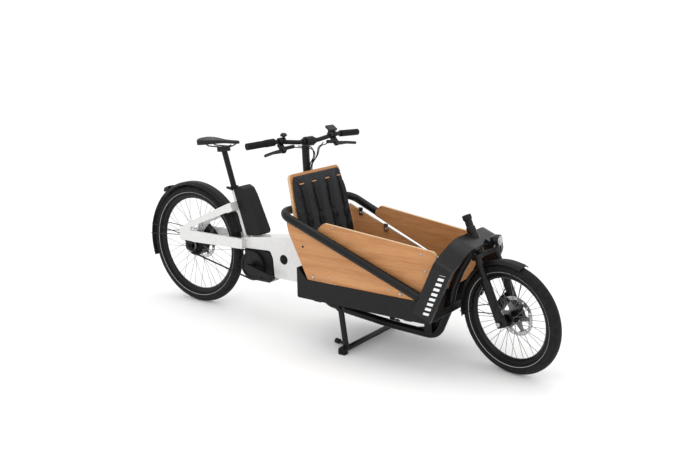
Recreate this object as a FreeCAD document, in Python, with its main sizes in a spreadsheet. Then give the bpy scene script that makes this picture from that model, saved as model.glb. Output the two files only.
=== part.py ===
import FreeCAD, Part
import math
import os
from FreeCAD import Placement, Rotation, Vector

# A front-loading electric cargo bicycle: small wheel and suspension fork in front of a wooden
# cargo box, rider's place behind it. The design frame has +X forward, +Y to the rider's left
# and +Z up, with x = 0 over the rear axle and z = 0 on the ground. Everything is moved at the
# end, so that the exported origin is the middle of the footprint.

doc = FreeCAD.newDocument("cargo_bicycle")
dims = doc.addObject("Spreadsheet::Sheet", "dims")

DIMENSIONS = {
    "rear_radius": 334.5, "rear_bead": 279.5, "rear_rim_inside": 259, "front_radius": 258,
    "front_bead": 203, "front_rim_inside": 186, "tyre_width": 55, "spoke_radius": 1.1,
    "wheel_base": 1928, "steer_turn": -12.5, "head_angle": 67, "fork_offset": 44.5,
    "axle_radius": 6, "running_gap": 0.05, "rear_dropout": 71, "rear_disc_line": 40,
    "front_disc_line": 36, "disc_radius": 90, "disc_thick": 2, "seat_tube_radius": 18,
    "seat_post_radius": 15.4,
    "beam_width": 88, "stay_width": 15, "lower_tube_radius": 20, "head_tube_radius": 24,
    "steerer_radius": 14.3, "leg_radius": 20, "stanchion_radius": 14, "leg_spacing": 130,
    "column_radius": 15, "column_house_radius": 21, "bar_radius": 11, "grip_radius": 16.5,
    "tub_half_width": 240, "tub_wall": 4, "tub_floor": 240, "tub_side": 336, "tub_back": 390,
    "tub_rear": 912, "tub_nose": 1655, "rail_radius": 20, "hoop_width": 94, "hoop_thick": 16,
    "panel_thick": 15, "pad_thick": 26, "strap_thick": 3, "strap_width": 34,
    "battery_width": 84, "motor_width": 90, "crank_x": 455, "crank_z": 285, "crank_length": 170,
    "ring_radius": 76, "sprocket_radius": 36, "belt_width": 12, "belt_thick": 3.5,
    "belt_line": -55, "stand_radius": 14, "stand_pin_radius": 11, "stand_half": 205,
    "fender_thick": 3, "pedal_hole_radius": 7.15, "floor_hole_radius": 3.3,
    "floor_hole_x": 300, "floor_hole_y": 200,
}
for row, (alias, value) in enumerate(DIMENSIONS.items(), start=1):
    dims.set(f"A{row}", alias.replace("_", " "))
    dims.set(f"B{row}", str(value))
    dims.setAlias(f"B{row}", alias)
doc.recompute()

X, Y, Z = Vector(1, 0, 0), Vector(0, 1, 0), Vector(0, 0, 1)
pieces = []


def d(alias):
    """A driving dimension, read from the sheet."""
    return float(dims.get(alias))


def piece(obj, label):
    obj.Label = label
    pieces.append(obj)
    return obj


# --- geometry helpers -------------------------------------------------------------------------

def corner_cut(before, corner, after, radius):
    """Where a corner's rounding starts and ends, its middle, and the radius it really gets."""
    back, ahead = before - corner, after - corner
    half = back.getAngle(ahead) / 2
    length = min(radius / math.tan(half), 0.46 * back.Length, 0.46 * ahead.Length)
    real = length * math.tan(half)
    start = corner + back.normalize() * length
    end = corner + ahead.normalize() * length
    inward = (start + end) * 0.5 - corner
    centre = corner + inward.normalize() * math.hypot(length, real)
    middle = centre + (corner - centre).normalize() * real
    return start, middle, end


def rounded(points, closed):
    """Lines and tangent arcs through points given as (vector, corner radius)."""
    edges, count = [], len(points)
    spans = range(count) if closed else range(1, count - 1)
    cuts = {}
    for i in spans:
        corner, radius = points[i]
        if radius > 0:
            before, after = points[i - 1][0], points[(i + 1) % count][0]
            cuts[i] = corner_cut(before, corner, after, radius)
    for i in range(count if closed else count - 1):
        k = (i + 1) % count
        start = cuts[i][2] if i in cuts else points[i][0]
        end = cuts[k][0] if k in cuts else points[k][0]
        if (end - start).Length > 1e-3:
            edges.append(Part.LineSegment(start, end))
        if k in cuts:
            edges.append(Part.Arc(*cuts[k]))
    return edges


def new_sketch(body, outlines, role):
    """A sketch of closed outlines, each a list of (u, v) or (u, v, corner radius)."""
    sketch = body.newObject("Sketcher::SketchObject", body.Name + "_sketch")
    plane = [f for f in body.Origin.OriginFeatures if f.Role == role][0]
    sketch.AttachmentSupport = [(plane, "")]
    sketch.MapMode = "FlatFace"
    for outline in outlines:
        points = [(Vector(p[0], p[1], 0), p[2] if len(p) > 2 else 0) for p in outline]
        for edge in rounded(points, True):
            sketch.addGeometry(edge, False)
    return sketch


def pad(name, outlines, length, role="XZ_Plane"):
    """A plate: outlines in one of the body's planes, thickened evenly to both sides."""
    body = doc.addObject("PartDesign::Body", name)
    feature = body.newObject("PartDesign::Pad", name + "_pad")
    feature.Profile = new_sketch(body, outlines, role)
    feature.SideType = "Symmetric"
    feature.setExpression("Length", length)
    return body


def circle_outline(u, v, radius):
    """Four points whose full corner rounding makes a circle."""
    return [(u - radius, v - radius, radius), (u + radius, v - radius, radius),
            (u + radius, v + radius, radius), (u - radius, v + radius, radius)]


def lathe(name, profile, at=Vector(), axis=Z):
    """A turned piece: a closed profile of (radius, height[, rounding]) round its own axis."""
    body = doc.addObject("PartDesign::Body", name)
    feature = body.newObject("PartDesign::Revolution", name + "_turn")
    sketch = new_sketch(body, [profile], "XZ_Plane")
    feature.Profile = sketch
    feature.ReferenceAxis = (sketch, ["V_Axis"])
    feature.Angle = 360
    body.Placement = Placement(at, Rotation(Z, axis))
    return body


def rod(start, end, radius):
    """A round bar between two points; the radius is a sheet expression."""
    bar = doc.addObject("Part::Cylinder", "bar")
    bar.setExpression("Radius", radius)
    bar.Height = (end - start).Length
    bar.Placement = Placement(start, Rotation(Z, end - start))
    return bar


def block(centre, length, width, height, rotation=Rotation()):
    """A box about its centre; the three sizes are numbers or sheet expressions."""
    box = doc.addObject("Part::Box", "block")
    sizes = []
    for side, value in (("Length", length), ("Width", width), ("Height", height)):
        if isinstance(value, str):
            box.setExpression(side, value)
            sizes.append(d(value.split(".")[1].split(" ")[0]))
        else:
            setattr(box, side, value)
            sizes.append(value)
    box.Placement = Placement(centre - rotation.multVec(Vector(*sizes) * 0.5), rotation)
    return box


def pipe(points, bend, radius):
    """A round tube along straight runs joined by tangent arcs."""
    path = doc.addObject("Part::Feature", "route")
    stops = [(p, bend) for p in points]
    path.Shape = Part.Wire([edge.toShape() for edge in rounded(stops, False)])
    ring = doc.addObject("Part::Circle", "ring")
    ring.setExpression("Radius", radius)
    ring.Placement = Placement(points[0], Rotation(Z, points[1] - points[0]))
    tube = doc.addObject("Part::Sweep", "tube")
    tube.Sections = [ring]
    tube.Spine = (path, [f"Edge{i + 1}" for i in range(len(path.Shape.Edges))])
    tube.Solid = True
    tube.Frenet = False
    return tube


def fuse(parts):
    joined = doc.addObject("Part::MultiFuse", "joined")
    joined.Shapes = parts
    return joined


def cut(base, tools):
    for tool in tools:
        result = doc.addObject("Part::Cut", "trimmed")
        result.Base, result.Tool = base, tool
        base = result
    return base


def group(parts):
    """Separate solids that make one named piece, such as a set of bolts."""
    together = doc.addObject("Part::Compound", "group")
    together.Links = parts
    return together


def both_sides(make):
    return [make(side) for side in (-1, 1)]


def at(x, y, z):
    return Vector(x, y, z)


# --- steering and front frame geometry --------------------------------------------------------

HOOP_FOOT, HOOP_TOP, HOOP_TURN = at(1622, 0, 286), 340, Rotation(Y, 23.3)
LOWER_ROUTE = [at(866, 0, 262), at(905, 0, 152), at(1040, 0, 130), at(1300, 0, 106),
               at(1553, 0, 98), at(1612, 0, 240), at(1636, 0, 352), at(1671, 0, 436),
               at(1728, 0, 536), at(1746, 0, 573)]

HEAD_UP = Vector(-math.cos(math.radians(d("head_angle"))), 0, math.sin(math.radians(d("head_angle"))))
HEAD_FORWARD = Vector(HEAD_UP.z, 0, -HEAD_UP.x)
AXLE = at(d("wheel_base"), 0, d("front_radius"))
HEAD_FOOT = AXLE - HEAD_FORWARD * d("fork_offset")      # axle's foot on the steering axis
COLUMN_TOP = at(797, 0, 829)
COLUMN_UP = Vector(-0.05, 0, 1).normalize()
FORK_TURN = Placement(Vector(), Rotation(HEAD_UP, d("steer_turn")), HEAD_FOOT)
BAR_TURN = Placement(Vector(), Rotation(COLUMN_UP, d("steer_turn")), COLUMN_TOP)
LEVER_TURN = Rotation(Y, 42)


def on_head(up, forward=0.0, side=0.0):
    """A point from the steering axis: distance up it from the axle's foot, forward and left."""
    return HEAD_FOOT + HEAD_UP * up + HEAD_FORWARD * forward + Y * side


def on_column(height, forward=0.0, side=0.0):
    """A point beside the handlebar column at a height above the ground."""
    rise = (height - COLUMN_TOP.z) / COLUMN_UP.z
    return COLUMN_TOP + COLUMN_UP * rise + X * forward + Y * side


def turned(parts, turn):
    for part in parts:
        part.Placement = turn.multiply(part.Placement)


# --- wheels -----------------------------------------------------------------------------------

def wheel(end, centre, hub_profile, flange, hub_radius):
    """One spoked wheel: tyre, rim, hub with spokes, and brake disc, about its axle."""
    radius, bead, inside = d(f"{end}_radius"), d(f"{end}_bead"), d(f"{end}_rim_inside")
    half = d("tyre_width") / 2
    crown = radius - half
    wall = 4.0
    tyre = doc.addObject("PartDesign::Body", f"{end}_tyre")
    turn = tyre.newObject("PartDesign::Revolution", f"{end}_tyre_turn")
    sketch = tyre.newObject("Sketcher::SketchObject", f"{end}_tyre_section")
    sketch.AttachmentSupport = [([f for f in tyre.Origin.OriginFeatures if f.Role == "XZ_Plane"][0], "")]
    sketch.MapMode = "FlatFace"
    open_angle = math.radians(30)

    def ring_point(size, angle):
        return Vector(crown - size * math.cos(angle), size * math.sin(angle), 0)

    corners = [ring_point(half, open_angle), ring_point(half, -open_angle)]
    inner = [ring_point(half - wall, open_angle), ring_point(half - wall, -open_angle)]
    sketch.addGeometry(Part.Arc(corners[0], Vector(crown + half, 0, 0), corners[1]), False)
    sketch.addGeometry(Part.LineSegment(corners[1], inner[1]), False)
    sketch.addGeometry(Part.Arc(inner[1], Vector(crown + half - wall, 0, 0), inner[0]), False)
    sketch.addGeometry(Part.LineSegment(inner[0], corners[0]), False)
    turn.Profile = sketch
    turn.ReferenceAxis = (sketch, ["V_Axis"])
    turn.Angle = 360
    tyre.Placement = Placement(centre, Rotation(Z, Y))
    lip = crown - half * math.cos(open_angle)
    rim = lathe(f"{end}_rim", [(lip - 0.1, -13.5), (lip - 0.1, 13.5), (bead - 6, 15, 2),
                               (inside + 7, 12, 4), (inside, 5, 2), (inside, -5, 2),
                               (inside + 7, -12, 4), (bead - 6, -15, 2)], centre, Y)
    hub = lathe(f"{end}_hub_shell", hub_profile, centre, Y)
    spokes, count = [], 36
    for i in range(count):
        side = 1 if i % 2 else -1
        lean = 0.42 if (i // 2) % 2 else -0.42
        a = 2 * math.pi * i / count
        top = Vector(math.cos(a) * (inside + 1), 0, math.sin(a) * (inside + 1))
        foot = Vector(math.cos(a + lean) * hub_radius, 0, math.sin(a + lean) * hub_radius)
        spokes.append(rod(centre + foot + Y * side * flange, centre + top + Y * side * 2,
                          "dims.spoke_radius"))
    laced = fuse([hub] + spokes)
    openings = [circle_outline(0, 0, d("disc_radius")), circle_outline(0, 0, 26)]
    arms = 6
    for i in range(arms):
        a0, a1 = 2 * math.pi * i / arms + 0.12, 2 * math.pi * (i + 1) / arms - 0.12
        outer, inner_r = 70, 38
        mid = (a0 + a1) / 2
        openings.append([(outer * math.cos(a0), outer * math.sin(a0), 4),
                         (1.14 * outer * math.cos(mid), 1.14 * outer * math.sin(mid), 60),
                         (outer * math.cos(a1), outer * math.sin(a1), 4),
                         (inner_r * math.cos(mid), inner_r * math.sin(mid), 6)])
    holes = 18
    for i in range(holes):
        a = 2 * math.pi * i / holes
        openings.append(circle_outline(82 * math.cos(a), 82 * math.sin(a), 3.5))
    disc = pad(f"{end}_disc", openings, "dims.disc_thick")
    disc.Placement = Placement(centre + Y * d(f"{end}_disc_line"), Rotation())
    return [piece(tyre, f"{end}_tyre"), piece(rim, f"{end}_rim"),
            piece(laced, f"{end}_hub"), piece(disc, f"{end}_brake_disc")]


def wheels():
    bore = d("axle_radius") + d("running_gap")
    rear_hub = [(bore, -64), (30, -64), (30, -44, 3), (58, -38, 4), (64, -30, 3), (64, 26, 3),
                (58, 34, 4), (25.5, 38, 3), (25.5, 64), (bore, 64)]
    wheel("rear", at(0, 0, d("rear_radius")), rear_hub, 27, 60)
    front_hub = [(bore, -44), (14, -44), (14, -32), (27, -29), (27, -23), (16, -19, 3),
                 (16, 17, 3), (27, 21), (27, 27), (25.5, 30), (25.5, 40), (14, 42), (14, 44),
                 (bore, 44)]
    turned(wheel("front", AXLE, front_hub, 24, 25), FORK_TURN)


# --- rear frame -------------------------------------------------------------------------------

SEAT_FOOT = at(381, 0, 412)
SEAT_TOP = at(299, 0, 674)
SEAT_UP = (SEAT_TOP - SEAT_FOOT).normalize()


def rear_frame():
    tube = rod(SEAT_FOOT, SEAT_TOP, "dims.seat_tube_radius")
    hollow = rod(SEAT_FOOT - SEAT_UP * 30, SEAT_TOP + SEAT_UP * 5,
                 "dims.seat_post_radius + dims.running_gap")
    piece(cut(tube, [hollow]), "seat_tube")

    beam_outline = [(388, 428, 6), (574, 454, 40), (906, 484, 6), (906, 240, 4), (600, 238, 12),
                    (592, 340, 30), (574, 380, 20), (388, 372, 6)]
    beam = pad("beam", [beam_outline], "dims.beam_width")
    tools = []
    for side in (-1, 1):
        bevel = pad("beam_bevel", [[(600, 300), (920, 322), (920, 200), (600, 200)]], "20")
        bevel.Placement = Placement(at(0, side * 51, 0) - Z * 2, Rotation(X, side * 7))
        tools.append(bevel)
        socket = lathe("plug_socket", [(0, 0), (26, 0), (26, 12), (0, 12)],
                       at(665, side * 38, 345), Y * side)
        tools.append(socket)
    column_way = rod(on_column(200), on_column(520), "dims.column_house_radius")
    seat_end = rod(SEAT_FOOT, SEAT_TOP, "dims.seat_tube_radius")
    piece(cut(beam, tools + [column_way, seat_end]), "main_beam")
    piece(group(both_sides(lambda side: lathe(
        "plug", [(0, 0), (25.7, 0), (25.7, 5, 1), (20, 9, 3), (0, 9)],
        at(665, side * 38, 345), Y * side))), "beam_plugs")

    stays = []
    for side in (-1, 1):
        outline = [(-62, 430, 14), (20, 476, 30), (318, 610, 6), (340, 574, 6), (26, 446, 12),
                   (22, 424, 10), (388, 428, 2), (388, 373, 2), (30, 364, 10), (8, 352, 6),
                   (-62, 366, 12)]
        stay = pad("stay", [outline], "dims.stay_width")
        stay.Placement = Placement(at(0, side * d("rear_dropout"), 0), Rotation())
        stays.append(stay)
        upper = block(at(322, side * 44, 586), 44, 70, 44, Rotation(Y, -24))
        lower = block(at(392, side * 59, 400), 30, 38, 52)
        stays += [upper, lower]
    stays.append(block(at(330, 0, 592), 24, 150, 40, Rotation(Y, -24)))
    seat_way = rod(SEAT_FOOT - SEAT_UP * 40, SEAT_TOP, "dims.seat_tube_radius")
    beam_way = block(at(600, 0, 400), 424, "dims.beam_width", 120)
    slider_ways = both_sides(lambda side: block(at(5, side * d("rear_dropout"), 338), 58.8, 40, 56.6))
    piece(cut(fuse(stays), [seat_way, beam_way] + slider_ways), "rear_stays")

    sliders = []
    for side in (-1, 1):
        outline = [(-24, 366, 4), (34, 366, 4), (34, 352, 3), (20, 344, 3), (22, 326, 6),
                   (10, 314, 8), (-10, 314, 8), (-22, 326, 6), (-20, 344, 3)]
        plate = pad("slider", [outline], "10")
        plate.Placement = Placement(at(0, side * d("rear_dropout"), 0), Rotation())
        nut = lathe("axle_nut", [(0, 0), (11, 0, 1), (11, 9, 2), (0, 9)],
                    at(0, side * (d("rear_dropout") + 5), d("rear_radius")), Y * side)
        sliders += [plate, nut]
    axle_half = d("rear_dropout") + 3
    axle = rod(at(0, -axle_half, d("rear_radius")), at(0, axle_half, d("rear_radius")),
               "dims.axle_radius")
    piece(fuse(sliders + [axle]), "rear_axle")

    clamp_at = SEAT_TOP + SEAT_UP * 8.3
    collar = lathe("collar", [(d("seat_post_radius") + 0.2, -8), (24, -8, 1), (24, 8, 1),
                              (d("seat_post_radius") + 0.2, 8)], clamp_at, SEAT_UP)
    lever = block(clamp_at + at(-4, -30, 0), 42, 8, 12, Rotation(Y, 10))
    pivot = rod(clamp_at + at(-24, -33, 0), clamp_at + at(-24, 16, 0), "3.5")
    piece(fuse([collar, lever, pivot]), "seat_clamp")


def saddle_and_post():
    shaft = rod(SEAT_TOP - SEAT_UP * 150, SEAT_TOP + SEAT_UP * 212, "dims.seat_post_radius")
    head = block(SEAT_TOP + SEAT_UP * 222, 46, 54, 26, Rotation(Y, -4))
    rails = both_sides(lambda side: pipe(
        [at(118, side * 27, 913), at(146, side * 25, 898), at(268, side * 23, 899),
         at(304, side * 16, 913)], 25, "3.5"))
    piece(fuse([shaft, head] + rails), "seat_post")
    plan = [(88, 0), (92, 62, 20), (118, 76, 18), (160, 68, 30), (215, 36, 40), (262, 20, 60),
            (345, 17, 12), (353, 0)]
    outline = plan + [(p[0], -p[1]) + tuple(p[2:]) for p in reversed(plan[1:-1])]
    outline = [p for p in outline if p[1] != 0]
    seat = pad("seat", [outline], "70", "XY_Plane")
    seat.Placement = Placement(at(0, 0, 920), Rotation())
    side_view = pad("seat_side", [[(84, 901, 10), (86, 937, 12), (122, 941.5, 40), (354, 938, 9),
                                   (355, 921, 7), (240, 914, 60), (150, 899, 40)]], "170")
    shell = doc.addObject("Part::Common", "seat_shell")
    shell.Base, shell.Tool = seat, side_view
    piece(cut(shell, [block(at(211, 0, 897), 206, 68, 40)]), "saddle")


def battery_unit():
    outline = [(440.5, 442, 10), (357, 692, 12), (368, 704, 14), (402, 690, 26), (427, 650, 30),
               (508, 470, 20), (503, 451.5, 8)]
    piece(pad("pack", [outline], "dims.battery_width"), "battery")
    rail = pad("rail_plate", [[(398, 438, 4), (437, 441, 3), (354, 690, 3), (316, 680, 6)]], "56")
    seat_way = rod(SEAT_FOOT - SEAT_UP * 30, SEAT_TOP, "dims.seat_tube_radius")
    piece(cut(rail, [seat_way]), "battery_rail")


def drive():
    crank = at(d("crank_x"), 0, d("crank_z"))
    shell = [(396, 369, 8), (398, 262, 40), (440, 214, 30), (560, 214, 40), (588, 262, 20),
             (590, 320, 20), (572, 372, 10)]
    core = pad("motor", [shell], "dims.motor_width")
    shaft_way = rod(crank - Y * 70, crank + Y * 70, "9.55")
    piece(cut(core, [shaft_way]), "motor_housing")
    cover_parts = both_sides(lambda side: lathe(
        "cover", [(9.55, 0), (58, 0), (58, 6, 2), (40, 11, 4), (9.55, 12)],
        crank + Y * side * 45, Y * side))
    belly = pad("belly", [[(430, 213.5, 6), (452, 200, 20), (556, 200, 20), (600, 236, 8),
                           (594, 246, 4), (562, 213.5, 20)]], "70")
    piece(group([cover_parts[1], belly]), "motor_covers")
    arms = []
    for side, angle in ((-1, -11), (1, 169)):
        reach = Vector(math.cos(math.radians(angle)), 0, math.sin(math.radians(angle)))
        tip = reach * d("crank_length")
        arm = pad("arm", [[(-19, -19, 18), (d("crank_length") * 0.5, -15, 30),
                           (d("crank_length") + 15, -14, 13), (d("crank_length") + 15, 14, 13),
                           (d("crank_length") * 0.5, 15, 30), (-19, 19, 18)]], "14")
        arm.Placement = Placement(crank + Y * side * 94, Rotation(Y, -angle))
        thread = rod(crank + tip + Y * side * 80, crank + tip + Y * side * 110,
                     "dims.pedal_hole_radius")
        arms.append(cut(arm, [thread]))
    spindle = rod(crank - Y * 96, crank + Y * 96, "9.5")
    piece(fuse(arms + [spindle]), "crank_set")
    teeth = d("ring_radius")
    ring = lathe("ring", [(9.6, 0), (24, 0), (24, 3), (teeth - 12, 3), (teeth - 12, 0),
                          (teeth, 0), (teeth, 12), (teeth - 12, 12), (teeth - 12, 7), (24, 7),
                          (24, 15), (9.6, 15)], crank + Y * (d("belt_line") - 6), Y)
    piece(ring, "front_ring")
    rear = at(0, d("belt_line"), d("rear_radius"))
    sprocket = lathe("sprocket", [(30.1, -3), (d("sprocket_radius"), -7), (d("sprocket_radius"), 7),
                                  (30.1, 7)], rear, Y)
    piece(sprocket, "rear_sprocket")
    belt_outer, belt_inner = belt_loop(d("belt_thick") + 0.4), belt_loop(0.4)
    loop = doc.addObject("Part::Feature", "belt_loop")
    band = Part.Face(belt_outer).cut(Part.Face(belt_inner))
    loop.Shape = band.extrude(Vector(0, d("belt_width"), 0)).Solids[0]
    piece(loop, "drive_belt")


def belt_loop(grow):
    """The belt's closed line round both pulleys, standing off them by grow."""
    small, large = d("sprocket_radius") + grow, d("ring_radius") + grow
    plane = d("belt_line") - d("belt_width") / 2
    rear, front = at(0, plane, d("rear_radius")), at(d("crank_x"), plane, d("crank_z"))
    line = front - rear
    base = math.atan2(line.z, line.x)
    swing = math.acos((small - large) / line.Length)

    def rim(centre, radius, angle):
        return centre + Vector(math.cos(angle), 0, math.sin(angle)) * radius

    up, down = base + swing, base - swing
    edges = [Part.LineSegment(rim(rear, small, up), rim(front, large, up)),
             Part.Arc(rim(front, large, up), rim(front, large, base), rim(front, large, down)),
             Part.LineSegment(rim(front, large, down), rim(rear, small, down)),
             Part.Arc(rim(rear, small, down), rim(rear, small, base + math.pi),
                      rim(rear, small, up))]
    return Part.Wire([edge.toShape() for edge in edges])


def fender(name, centre, radius, width, start, end, skirt):
    """A mudguard: an arched strip round part of a wheel, angles in degrees from forward."""
    thick = d("fender_thick")
    half = width / 2
    crown = [(radius, -half * 0.55, 14), (radius, half * 0.55, 14), (radius - skirt, half, 0),
             (radius - skirt - thick, half - thick * 0.8, 0),
             (radius - thick, half * 0.5, 12), (radius - thick, -half * 0.5, 12),
             (radius - skirt - thick, -half + thick * 0.8, 0), (radius - skirt, -half, 0)]
    body = doc.addObject("PartDesign::Body", name)
    feature = body.newObject("PartDesign::Revolution", name + "_turn")
    sketch = new_sketch(body, [crown], "XZ_Plane")
    feature.Profile = sketch
    feature.ReferenceAxis = (sketch, ["V_Axis"])
    feature.Angle = end - start
    # The body's own Z is the axle; its X starts the arc at the start angle.
    along = Rotation(X, 90)
    body.Placement = Placement(centre, Rotation(Y, -start).multiply(along))
    return body


def mudguards():
    centre = at(0, 0, d("rear_radius"))
    guard = fender("rear_guard", centre, 354, 76, 18, 198, 14)
    piece(guard, "rear_fender")
    wires = []
    for side in (-1, 1):
        for angle in (166, 176):
            ray = Vector(math.cos(math.radians(angle)), 0, math.sin(math.radians(angle)))
            wires.append(rod(at(-40, side * 66, 392), centre + ray * 343 + Y * side * 38, "2.4"))
    piece(group(wires), "rear_fender_stays")
    lamp = pad("lamp", [[(-240, 602, 6), (-230, 634, 12), (-190, 650, 8), (-198, 632, 3)]], "42")
    guard_way = lathe("guard_way", [(0, -60), (354.3, -60), (354.3, 60), (0, 60)], centre, Y)
    piece(cut(lamp, [guard_way]), "rear_light")


# --- cargo box --------------------------------------------------------------------------------

RAIL_SLOPE, RAIL_TAPER = -0.406, -0.0643
PANEL_LEAN = 14.2


def rail_height(x):
    return 517 + RAIL_SLOPE * (x - 1200)


def rail_half(x):
    return 259.8 + RAIL_TAPER * (x - 1200)


def back_x(z):
    """Middle of the leaning back panel at a height."""
    return 838 + (826 - z) * math.tan(math.radians(PANEL_LEAN))


def cargo_box():
    rear, nose, floor = d("tub_rear"), d("tub_nose"), d("tub_floor")
    side, back, wall = d("tub_side"), d("tub_back"), d("tub_wall")
    seam = nose - 58
    profile = [(rear, floor, 10), (nose, floor, 6), (seam, side + 1),
               (rear + 60, side + 1, 20), (rear + 6, back, 4), (rear, back, 3)]
    outer = pad("tub_outer", [profile], "dims.tub_half_width * 2")
    tub_way = pad("tub_way", [profile], "dims.tub_half_width * 2 + 0.4")
    inner = pad("tub_inner", [[(rear + wall, floor + wall, 8), (nose - 9, floor + wall),
                               (seam - 18, side + 90), (rear + wall, side + 90)]],
                "dims.tub_half_width * 2 - dims.tub_wall * 2")
    notch = block(at(930, 0, 350), 60, 76, 260)
    holes = [rod(at(1330 + i * d("floor_hole_x") / 2, j * d("floor_hole_y") / 2, 220),
                 at(1330 + i * d("floor_hole_x") / 2, j * d("floor_hole_y") / 2, 260),
                 "dims.floor_hole_radius") for i in (-1, 1) for j in (-1, 1)]
    # A recess in the nose lets the frame's tube pass up in front of the cargo.
    recess = doc.addObject("Part::Common", "recess")
    recess.Base = pad("tub_front", [profile], "dims.tub_half_width * 2")
    recess.Tool = pipe(LOWER_ROUTE, 70, "dims.lower_tube_radius + 5")
    tube_way = pipe(LOWER_ROUTE, 70, "dims.lower_tube_radius + 0.4")
    piece(cut(fuse([cut(outer, [inner, notch]), recess]), [tube_way] + holes), "cargo_tub")

    corners = [at(1598, -rail_half(1598), rail_height(1598)),
               at(852, -rail_half(852), rail_height(852)),
               at(852, rail_half(852), rail_height(852)),
               at(1598, rail_half(1598), rail_height(1598))]
    piece(cut(pipe(corners, 60, "dims.rail_radius"), [tub_way]), "cargo_rail")
    rail_way = pipe(corners, 60, "dims.rail_radius + 0.3")

    lean = math.degrees(math.atan(0.07))
    for side_name, sign in (("right", -1), ("left", 1)):
        points = [(976, 2, 4), (1570, 2, 3), (1570, rail_height(1570) - 27 - 336, 3),
                  (868, rail_height(868) - 30 - 336, 10), (878, 225, 20)]
        panel = pad("side_panel", [points], "dims.panel_thick")
        panel.Placement = Placement(at(0, sign * 229, 336), Rotation(X, -sign * lean))
        piece(panel, f"side_panel_{side_name}")
    uppers = []
    for sign in (-1, 1):
        points = [(1050, rail_height(1050) - 6, 8), (1052, 598, 22), (1085, 628, 22),
                  (1650, 562, 20), (1668, 543, 16), (1588, rail_height(1588) - 4, 6)]
        panel = pad("upper_panel", [[(p[0] - 1085,) + tuple(p[1:]) for p in points]],
                    "dims.panel_thick")
        turn = math.degrees(math.atan(RAIL_TAPER))
        panel.Placement = Placement(at(1085, sign * (rail_half(1085) - 29), 0),
                                    Rotation(Z, sign * turn))
        uppers.append(panel)
    piece(group(uppers), "upper_side_panels")

    height = 498
    lean_turn = Rotation(Y, -PANEL_LEAN)
    back_outline = [(-218, 0, 6), (-222, height * 0.45, 40), (-196, height, 26),
                    (196, height, 26), (222, height * 0.45, 40), (218, 0, 6)]
    panel = pad("back_panel", [back_outline], "dims.panel_thick", "YZ_Plane")
    panel.Placement = Placement(at(back_x(342), 0, 342), lean_turn)
    piece(panel, "back_panel")
    pad_outline = [(-212, 96, 14), (-216, 300, 60), (-188, height - 6, 24), (188, height - 6, 24),
                   (216, 300, 60), (212, 96, 14)]
    cushion = pad("cushion", [pad_outline], "dims.pad_thick", "YZ_Plane")
    normal = lean_turn.multVec(X)
    stand_off = (d("panel_thick") + d("pad_thick")) / 2 + 0.3
    cushion.Placement = Placement(at(back_x(342), 0, 342) + normal * stand_off, lean_turn)
    piece(cushion, "back_pad")
    straps = []
    face = stand_off + d("pad_thick") / 2 + 0.3
    for y in (-150, -52, 52, 150):
        strap = pad("strap", [[(y - 17, 150, 3), (y - 17, 420, 3), (y + 17, 420, 3),
                               (y + 17, 150, 3)]], "dims.strap_thick", "YZ_Plane")
        shift = normal * (face + d("strap_thick") / 2)
        strap.Placement = Placement(at(back_x(342), 0, 342) + shift, lean_turn)
        straps.append(strap)
        for z in (190, 300):
            buckle = block(Vector(), 11, 40, 46)
            middle = normal * (face + d("strap_thick") + 6) + lean_turn.multVec(Vector(0, y, z))
            buckle.Placement = Placement(at(back_x(342), 0, 342) + middle
                                         - lean_turn.multVec(Vector(5.5, 20, 23)), lean_turn)
            straps.append(buckle)
    piece(group(straps), "harness_straps")

    front_outline = [(-219, 0, 6), (-219, 190, 40), (-190, 236, 90), (190, 236, 90),
                     (219, 190, 40), (219, 0, 6)]
    front = pad("front_board", [front_outline], "dims.panel_thick", "YZ_Plane")
    front.Placement = Placement(at(1597, 0, 340), HOOP_TURN)
    piece(cut(front, [rail_way]), "front_panel")

    half, thick, top = 250, d("hoop_thick"), HOOP_TOP
    outer_arch = [(-half, -20, 2), (-half, 244, 60), (-150, top, 110), (150, top, 110),
                  (half, 244, 60), (half, -20, 2)]
    inner_arch = [(half - thick, -20, 2), (half - thick, 238, 50), (150 - 8, top - thick, 100),
                  (-150 + 8, top - thick, 100), (-half + thick, 238, 50), (-half + thick, -20, 2)]
    hoop = pad("hoop", [outer_arch + inner_arch], "dims.hoop_width", "YZ_Plane")
    hoop.Placement = Placement(HOOP_FOOT, HOOP_TURN)
    steerer_way = rod(on_head(200), on_head(480), "dims.head_tube_radius")
    piece(cut(hoop, [steerer_way, tub_way]), "front_hoop")


def fixings():
    brackets, bolts = [], []
    for side in (-1, 1):
        for x in (960, 1120, 1560):
            z = rail_height(x) - 30
            wall_face = min(221.5 + 0.07 * (z - 360), rail_half(x) - 36.5) - 0.4
            plate = block(at(x, side * (wall_face - 3), z), 22, 6, 40)
            bolt = lathe("bolt", [(0, 0), (7, 0), (5, 5, 2), (0, 5.5)],
                         at(x, side * (wall_face - 5), z - 8), Y * -side)
            brackets.append(fuse([plate, bolt]))
        for x in (1010, 1500):
            bolts.append(lathe("bolt", [(0, 0), (8, 0), (6, 3.5, 2), (0, 4)],
                               at(x, side * 238.9, 356), Y * side))
    piece(group(brackets + bolts), "panel_fixings")


# --- lower frame, head tube and stand ---------------------------------------------------------

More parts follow.
